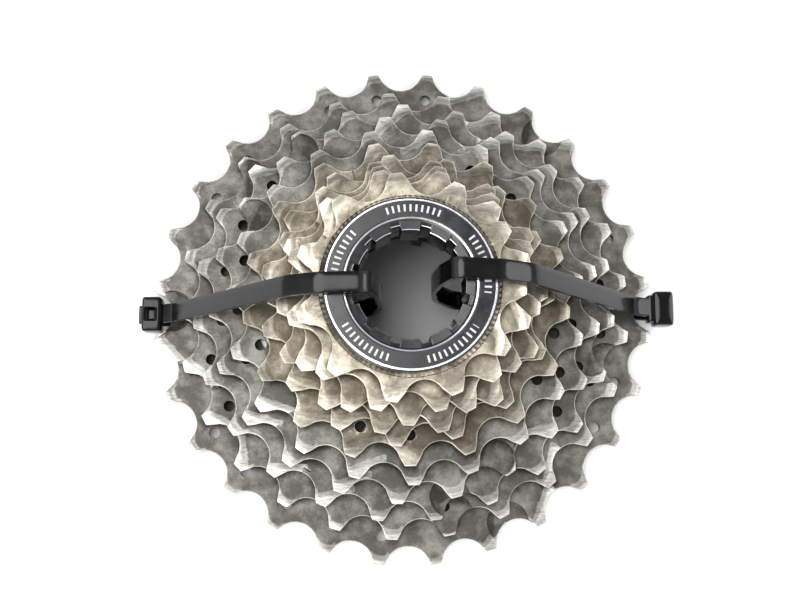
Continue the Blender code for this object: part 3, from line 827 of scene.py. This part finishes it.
def lockring(thread_depth):
    """Flange, threaded skirt and tool teeth, as a profile whose inner end follows the teeth.

    Each point's third value is one where the metal is cut after it was anodised. The thread
    is a triangle wave of the height over the pitch less the turn over 360.
    """
    low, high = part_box("lockring")
    top, bottom = high.z / MM, low.z / MM
    seat = top - LOCK_FLANGE
    middles = np.arange(LOCK_TEETH)[:, None] * 360 / LOCK_TEETH
    ends = np.array([-LOCK_TOOTH_HALF - LOCK_FLANK, -LOCK_TOOTH_HALF, LOCK_TOOTH_HALF,
                     LOCK_TOOTH_HALF + LOCK_FLANK])
    angles = spread(np.arange(0, 360, 1.2), middles + ends, middles + ends * 0.985)
    away = np.abs(folded(angles, 0.0, LOCK_TEETH)[1])
    rise = np.clip((away - LOCK_TOOTH_HALF) / LOCK_FLANK, 0, 1)
    bore = LOCK_TOOTH + (LOCK_NOTCH - LOCK_TOOTH) * rise
    profile = [
        (bore, bottom + 0.3, 0), (bore, top - 0.85, 0), (bore + 0.02, top - 0.8, 1),
        (bore + 0.14, top - 0.68, 1), (bore + 0.17, top - 0.66, 0),
        (12.6, top - 0.5, 0), (12.95, top - 0.12, 0), (13.0, top - 0.1, 1),
        (13.25, top - 0.02, 1), (13.3, top, 0), (13.6, top, 0), (15.2, top, 0),
        (16.3, top, 0), (16.55, top, 0), (16.58, top - 0.02, 1), (16.66, top - 0.08, 1),
        (16.92, top - 0.08, 1), (16.95, top - 0.1, 0), (17.1, top - 0.14, 0),
        (17.28, top - 0.3, 0), (LOCK_OUTER, top - 0.5, 0), (LOCK_OUTER, seat + 0.35, 0),
        (17.05, seat, 0), (15.6, seat, 0), (14.5, seat - 0.1, 0), (14.5, seat - 1.0, 0),
    ]
    heights = np.arange(seat - 1.2, bottom + 0.5, -THREAD_PITCH / 4)
    rows = [ring(radius, height, angles) for radius, height, _ in profile]
    bare = [value for _, _, value in profile]
    for height in heights:
        wave = np.abs(((height / THREAD_PITCH - angles / 360) % 1) * 2 - 1)
        rows.append(ring(LOCK_SKIRT - thread_depth * wave, height, angles))
        bare.append(0)
    rows += [ring(LOCK_SKIRT - thread_depth - 0.3, bottom, angles),
             ring(bore + 0.3, bottom, angles)]
    bare += [0, 0]
    marks = {"wear": np.broadcast_to(np.array(bare, float)[:, None], (len(rows), len(angles)))}
    return surface("lockring_fine", rows, marks, sharp=26)


# Cable ties

def bend(corner, start, end, radius, steps=10):
    """A quadratic curve that rounds the corner between two straight runs."""
    corner, start, end = (np.array(point, float) for point in (corner, start, end))
    back = (start - corner) / np.linalg.norm(start - corner)
    on = (end - corner) / np.linalg.norm(end - corner)
    half = math.acos(max(-1.0, min(1.0, float(back @ on)))) / 2
    reach = radius / math.tan(half)
    share = np.linspace(0, 1, steps + 1)[:, None]
    first, last = corner + back * reach, corner + on * reach
    return (1 - share) ** 2 * first + 2 * share * (1 - share) * corner + share ** 2 * last


def tie_route(rim, head_middle, ratchet):
    """A strap's middle line as (distance from the axis, height), as in the solid model."""
    half = STRAP / 2
    lift = half + TIE_CLEARANCE
    smallest = len(SPROCKETS) - 1
    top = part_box("lockring")[1].z / MM
    waist = LOCK_TOOTH - BORE_BULGE
    corners = (
        (rim - 2.6, head_middle, 0),
        (tip_radius(25) + 0.8 * lift, level(1) + PLATE + 0.8 * lift, 6),
        (tip_radius(11) + 0.8 * lift, level(smallest) + PLATE + 0.9 * lift, 8),
        (LOCK_OUTER + 0.6 * lift, top + 1.2 * lift, 5),
        (LOCK_TOOTH - 1.9 * lift, top + 1.2 * lift, 1.8),
        (waist + BORE_SLACK, top - BORE_DROP, 16),
        (waist, (top + STRAP) / 2, 40),
        (waist + BORE_SLACK, BORE_RISE, 12),
        (LOCK_TOOTH + lift, half, 5),
        (rim - half, half, 1.4),
        (rim - half, head_middle, 0),
    )
    places = [corner[:2] for corner in corners]
    parts = [np.array([places[0]])]
    for k in range(1, len(corners) - 1):
        parts.append(bend(places[k], places[k - 1], places[k + 1], corners[k][2]))
    route = np.concatenate(parts + [np.array([places[-1]])])
    steps = np.linalg.norm(np.diff(route, axis=0), axis=1)
    keep = np.concatenate(([True], steps > 1e-4))
    route = route[keep]
    along = np.concatenate(([0.0], np.cumsum(np.linalg.norm(np.diff(route, axis=0), axis=1))))
    even = np.linspace(0, along[-1], int(along[-1] / (ratchet / 3)))
    return np.stack([np.interp(even, along, route[:, k]) for k in (0, 1)], -1), even


def strap(name, side, across, rim, head_middle, ratchet):
    """A flat strap: its section is carried along the route, square to it.

    Its y changes evenly with the distance from the axis, from across[0] to across[1].
    The side towards the cassette has a channel of ratchet teeth, a saw wave of the distance
    along. Where the route turns tightly the nylon pales.
    """
    route, along = tie_route(rim, head_middle, ratchet)
    tangent = np.gradient(route, axis=0)
    tangent /= np.linalg.norm(tangent, axis=1, keepdims=True)
    outward = np.stack((-tangent[:, 1], tangent[:, 0]), -1)
    half, wide = STRAP / 2, STRAP_WIDTH / 2
    edge, chamfer = 0.25, 0.07
    section = np.array([
        (-wide, -half + edge), (-wide, half - edge), (-wide + chamfer, half - chamfer),
        (-wide + edge, half), (-0.7, half), (0.7, half), (wide - edge, half),
        (wide - chamfer, half - chamfer), (wide, half - edge), (wide, -half + edge),
        (wide - edge, -half), (wide - 0.8, -half), (wide - 0.85, -half), (0, -half),
        (-wide + 0.85, -half), (-wide + 0.8, -half), (-wide + edge, -half)])
    depth = np.broadcast_to(section[:, 1], (len(route), len(section))).copy()
    channel = slice(12, 15)
    depth[:, channel] += (SAW_START + SAW_RISE * ((along / ratchet) % 1))[:, None]
    plane = route[:, None, :] - outward[:, None, :] * depth[..., None]
    centre = across[0] + (across[1] - across[0]) * route[:, :1] / rim
    rows = np.stack((side * plane[..., 0], centre + section[:, 0], plane[..., 1]), -1)
    turn = np.abs(np.gradient(np.unwrap(np.arctan2(tangent[:, 1], tangent[:, 0])), along))
    pale = np.broadcast_to(np.clip((turn - PALE_TURN) * 2, 0, 0.6)[:, None], depth.shape)
    return surface(name, rows, {"wear": pale}, wrap=False, sharp=35)


def rounded_box(name, low, high, soft, power=9.0, window=None, steps=72):
    """A moulded block: rows of superellipses of a high power, drawn in at both ends.

    A point is half the width times the sign and the 2/power of the cosine, and the same
    with the sine. A window is (x, y, half width, half depth, floor) and is carried down
    from the top.
    """
    low, high = np.array(low, float), np.array(high, float)
    centre, half = (low + high) / 2, (high - low) / 2
    turn = np.arange(steps) * 2 * math.pi / steps + math.pi / 4
    base = np.stack([np.sign(f(turn)) * np.abs(f(turn)) ** (2 / power)
                     for f in (np.cos, np.sin)], -1)
    levels = [(low[2], soft), (low[2] + 0.3 * soft, 0.3 * soft), (low[2] + soft, 0.0),
              (high[2] - soft, 0.0), (high[2] - 0.3 * soft, 0.3 * soft), (high[2], soft)]
    outlines = [(centre[:2] + base * (half[:2] - drawn), height) for height, drawn in levels]
    if window:
        x, y, wide, deep, floor = window
        for height, out in ((high[2], 0.15), (high[2] - 0.15, 0.0), (floor, 0.0)):
            outlines.append((np.array((x, y)) + base * (wide + out, deep + out), height))
    rows = [np.concatenate((flat, np.full((steps, 1), height)), -1) for flat, height in outlines]
    return surface(name, rows, wrap=False, sharp=35)


def tie_block(name, side, reach, half_width, heights, soft, **more):
    """A moulded block between two distances from the axis, at the y of a tie's head."""
    ends = sorted(side * distance for distance in reach)
    y = TIE_Y["left" if side < 0 else "right"][1]
    return rounded_box(name, (ends[0], y - half_width, heights[0]),
                       (ends[1], y + half_width, heights[1]), soft, **more)


def tie_ends(side, rim, bottom):
    """The left tie's head, tail and pawl, or the right tie's head and collar."""
    length, wide, tall = TIE_HEAD
    middle, top = bottom + tall / 2, bottom + tall
    if side > 0:
        return [tie_block("tie_head_right", side, (rim - 4.4, rim), wide / 2, (bottom, top), 0.6),
                tie_block("tie_collar_right", side, (rim - 5.6, rim - 4.0), 3.1,
                          (bottom + 0.3, top - 0.8), 0.4)]
    window = (-(rim - 2.9), TIE_Y["left"][1], 1.35, 1.5, middle - 1.0)
    return [tie_block("tie_head_left", side, (rim - length, rim - 0.9), wide / 2,
                      (bottom, top), 0.5, window=window),
            tie_block("tie_tail_left", side, (rim - 2.0, rim), 2.0,
                      (middle - 0.6, middle + 0.6), 0.15),
            tie_block("tie_pawl_left", side, (rim - 3.9, rim - 2.2), 1.2,
                      (middle - 1.2, middle + 1.1), 0.2, power=5.0)]


# The add-on

def size(name, description, millimetres):
    return bpy.props.FloatProperty(name=name, description=description,
                                   default=millimetres * MM, unit="LENGTH", precision=5)


def colour(name, description, code):
    return bpy.props.FloatVectorProperty(name=name, description=description, size=4,
                                         default=linear(code), min=0.0, max=1.0,
                                         subtype="COLOR")


class CassetteSprocketSettings(bpy.types.PropertyGroup):
    edge_bevel: size("Edge bevel", "Width of the bright bevel along each tooth edge", 0.1)
    deepest: size("Deepest facet", "Most that a tooth's front is cut below its face", 0.75)
    titanium: colour("Titanium", "Colour of the five largest sprockets", "83817a")
    nickel: colour("Nickel plate", "Colour of the six smallest sprockets", "bdb4a3")


class CassetteHubSettings(bpy.types.PropertyGroup):
    soft_edge: size("Edge radius", "Rounding of the edges of spacers and carriers", 0.2)
    spacer: colour("Spacers", "Colour of the turned spacers", "b9b8b4")
    composite: colour("Composite", "Colour of the largest carrier's dark tows", "1d1e20")
    carrier: colour("Carrier", "Colour of the aluminium carrier", "a09f9b")
    rivet: colour("Rivets", "Colour of the rivets' heads", "b4b0a8")


class CassetteLockringSettings(bpy.types.PropertyGroup):
    thread_depth: size("Thread depth", "Depth of the thread on the skirt", 0.5)
    skin: colour("Anodising", "Colour of the lockring", "0b0c0f")
    ink: colour("Ink", "Colour of the printed strokes", "d9dadc")


class CassetteTieSettings(bpy.types.PropertyGroup):
    ratchet: size("Ratchet pitch", "Distance between the strap's teeth", 1.1)
    nylon: colour("Nylon", "Colour of the cable ties", "060607")


class CassetteStageSettings(bpy.types.PropertyGroup):
    floor: colour("Floor", "Colour of the card", "fbfbfa")
    key: bpy.props.FloatProperty(name="Key light", description="Power of the main soft light",
                                 default=6.5, unit="POWER")
    fill: bpy.props.FloatProperty(name="Fill light", description="Power of the weak light",
                                  default=5.0, unit="POWER")
    sky: bpy.props.FloatProperty(name="Sky", description="Brightness of the surroundings",
                                 default=1.2, subtype="FACTOR")


class CASSETTE_OT_sprockets(bpy.types.Operator):
    """Builds the eleven toothed rings"""
    bl_idname = "cassette.sprockets"
    bl_label = "Sprockets"

    def execute(self, context):
        settings = context.scene.cassette_sprockets
        looks = {True: ("titanium", titanium(settings.titanium)),
                 False: ("nickel_plated_steel", nickel(settings.nickel))}
        for index, (teeth, _, _) in enumerate(SPROCKETS):
            piece = sprocket(index, settings)
            slot, look = looks[index < CARRIED]
            own(piece, "cassette", slot, look, "sprocket_%dt" % teeth)
        return {"FINISHED"}


class CASSETTE_OT_spacers(bpy.types.Operator):
    """Builds the four loose spacer rings"""
    bl_idname = "cassette.spacers"
    bl_label = "Spacers"

    def execute(self, context):
        settings = context.scene.cassette_hub
        look = turned_aluminium("turned_aluminium", settings.spacer)
        for pair in ("19_17", "17_15", "15_14", "14_13"):
            node = "spacer_" + pair
            low, high = (corner.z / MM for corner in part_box(node))
            piece = layered("spacer_ring_" + pair, [(low, high, plain(SPACER_OUTER))],
                            settings.soft_edge / MM)
            own(piece, "cassette", "spacer_aluminium", look, node)
        return {"FINISHED"}


class CASSETTE_OT_carriers(bpy.types.Operator):
    """Builds the two splined hubs with their arms"""
    bl_idname = "cassette.carriers"
    bl_label = "Carriers"

    def execute(self, context):
        settings = context.scene.cassette_hub
        soft = settings.soft_edge / MM
        hub = plain(HUB_OUTER)
        seam = level(2) + PLATE

        def between_plates(index, outline):
            return (level(index) + PLATE + GAP, level(index + 1) - GAP, outline)

        lower = between_plates(0, arms(LARGE_CIRCLE, LARGE_FIRST))
        middle = between_plates(1, arms(MIDDLE_CIRCLE, MIDDLE_FIRST))
        upper = between_plates(3, arms(SMALL_CIRCLE, SMALL_FIRST))
        large = layered("carrier_large_fine",
                        [(level(0), lower[0], hub), lower, (lower[1], middle[0], hub), middle,
                         (middle[1], seam, hub)], soft)
        own(large, "cassette", "carbon_composite", carbon_composite(settings.composite),
            "carrier_28_25_23")
        small = layered("carrier_small_fine",
                        [(seam + GAP, upper[0], hub), upper,
                         (upper[1], level(4) + PLATE, hub)], soft)
        own(small, "cassette", "carrier_aluminium",
            turned_aluminium("anodised_carrier_aluminium", settings.carrier), "carrier_21_19")
        return {"FINISHED"}


class CASSETTE_OT_rivets(bpy.types.Operator):
    """Builds the eighteen rivets with their domed heads"""
    bl_idname = "cassette.rivets"
    bl_label = "Rivets"

    def execute(self, context):
        look = rivet_steel(context.scene.cassette_hub.rivet)
        rows = (("large", LARGE_CIRCLE, LARGE_FIRST, 0), ("middle", MIDDLE_CIRCLE, MIDDLE_FIRST, 1),
                ("small", SMALL_CIRCLE, SMALL_FIRST, 3))
        head = RIVET_HEAD
        for label, circle, first, index in rows:
            for number in range(ARMS):
                node = "rivet_%s_%d" % (label, number + 1)
                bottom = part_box(node)[0].z / MM
                under, over = level(index) - GAP, level(index + 1) + PLATE + GAP
                top = over + RIVET_HEAD_HEIGHT
                profile = ((0.75 * head, bottom), (0.93 * head, bottom + 0.15),
                           (head, bottom + 0.45), (head, under + GAP), (RIVET_SHANK, under + GAP),
                           (RIVET_SHANK, over - GAP), (head, over - GAP), (head, over + 0.15),
                           (0.9 * head, over + 0.5), (0.65 * head, top - 0.12),
                           (0.3 * head, top - 0.02))
                place = polar(circle, first + number * 360 / ARMS)
                piece = turned("rivet_head_%s_%d" % (label, number + 1), profile, place)
                own(piece, "cassette", "rivet_steel", look, node)
        return {"FINISHED"}


class CASSETTE_OT_lockring(bpy.types.Operator):
    """Builds the lockring"""
    bl_idname = "cassette.lockring"
    bl_label = "Lockring"

    def execute(self, context):
        settings = context.scene.cassette_lockring
        own(lockring(settings.thread_depth / MM), "lockring", "black_anodised_aluminium",
            anodised(settings.skin, settings.ink), "lockring")
        return {"FINISHED"}


class CASSETTE_OT_ties(bpy.types.Operator):
    """Builds the two cable ties with their heads"""
    bl_idname = "cassette.ties"
    bl_label = "Cable ties"

    def execute(self, context):
        settings = context.scene.cassette_ties
        look = nylon(settings.nylon)
        bottom = level(0) + PLATE + GAP
        middle = bottom + TIE_HEAD[2] / 2
        for label, side in (("left", -1), ("right", 1)):
            node = "tie_" + label
            low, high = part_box(node)
            rim = max(-low.x, high.x) / MM
            own(strap("strap_" + label, side, TIE_Y[label], rim, middle, settings.ratchet / MM),
                "cassette", "black_nylon", look, node)
            for piece in tie_ends(side, rim, bottom):
                own(piece, "cassette", "black_nylon", look)
        return {"FINISHED"}


class CASSETTE_OT_stage(bpy.types.Operator):
    """Builds the floor, the soft lights, the surroundings and the camera"""
    bl_idname = "cassette.stage"
    bl_label = "Stage"

    def execute(self, context):
        settings = context.scene.cassette_stage
        scene = context.scene
        corners = np.array([(x * FLOOR_HALF, y * FLOOR_HALF, -FLOOR_DROP)
                            for x, y in ((-1, -1), (1, -1), (1, 1), (-1, 1))])
        floor = put("floor", corners, [(0, 1, 2, 3)], {}, 30)
        floor.data.materials.append(floor_paper(settings.floor))
        powers = (settings.key, settings.fill, 0.5 * settings.fill)
        for (name, place, width), power in zip(LAMPS, powers):
            data = bpy.data.lights.new(name, "AREA")
            data.shape = "DISK"
            data.size = width
            data.energy = power
            lamp = bpy.data.objects.new(name, data)
            lamp.location = place
            lamp.rotation_euler = (-lamp.location).to_track_quat("-Z", "Y").to_euler()
            scene.collection.objects.link(lamp)
        world = bpy.data.worlds.new("soft_room")
        scene.world = world
        world.use_nodes = True
        tree = world.node_tree
        place = add(tree, "TexCoord", (), "Generated")
        y, z = (add(tree, "SeparateXYZ", (place,), axis) for axis in "YZ")
        low = add(tree, "MapRange", (z, 0.92, 0.7))
        near = add(tree, "MapRange", (y, 0.35, -0.45, 0.25, 1.0))
        bright = add(tree, "Math", (low, near), operation="MULTIPLY")
        tone = add(tree, "Mix", {0: bright, 6: linear("8f9092"), 7: linear("ffffff")}, 2,
                   data_type="RGBA")
        back = tree.nodes["Background"]
        feed(tree, back, Color=tone)
        back.inputs["Strength"].default_value = settings.sky
        data = bpy.data.cameras.new("camera")
        data.lens = LENS
        data.sensor_width = SENSOR
        camera = bpy.data.objects.new("camera", data)
        camera.location = [value * MM for value in CAMERA_PLACE]
        camera.rotation_euler = Euler(math.radians(turn) for turn in CAMERA_TURN)
        scene.collection.objects.link(camera)
        scene.camera = camera
        scene.view_settings.view_transform = "Standard"
        return {"FINISHED"}


class CASSETTE_PT_sidebar(bpy.types.Panel):
    """Lists the cassette's pieces"""
    bl_idname = "CASSETTE_PT_sidebar"
    bl_label = "Cassette"
    bl_space_type = "VIEW_3D"
    bl_region_type = "UI"
    bl_category = "Cassette"

    def draw(self, context):
        for operator in OPERATORS:
            self.layout.operator(operator.bl_idname)
        for holder in GROUPS:
            settings = getattr(context.scene, holder)
            for name in type(settings).__annotations__:
                self.layout.prop(settings, name)


OPERATORS = (CASSETTE_OT_sprockets, CASSETTE_OT_spacers, CASSETTE_OT_carriers,
             CASSETTE_OT_rivets, CASSETTE_OT_lockring, CASSETTE_OT_ties, CASSETTE_OT_stage)
GROUPS = {"cassette_sprockets": CassetteSprocketSettings, "cassette_hub": CassetteHubSettings,
          "cassette_lockring": CassetteLockringSettings, "cassette_ties": CassetteTieSettings,
          "cassette_stage": CassetteStageSettings}
CLASSES = (*GROUPS.values(), *OPERATORS, CASSETTE_PT_sidebar)


def register():
    for each in CLASSES:
        bpy.utils.register_class(each)
    for holder, group in GROUPS.items():
        setattr(bpy.types.Scene, holder, bpy.props.PointerProperty(type=group))


def unregister():
    for holder in GROUPS:
        delattr(bpy.types.Scene, holder)
    for each in reversed(CLASSES):
        bpy.utils.unregister_class(each)


def main():
    register()
    bpy.ops.cassette.sprockets()
    bpy.ops.cassette.spacers()
    bpy.ops.cassette.carriers()
    bpy.ops.cassette.rivets()
    bpy.ops.cassette.lockring()
    bpy.ops.cassette.ties()
    bpy.ops.cassette.stage()


if __name__ == "__main__":
    main()
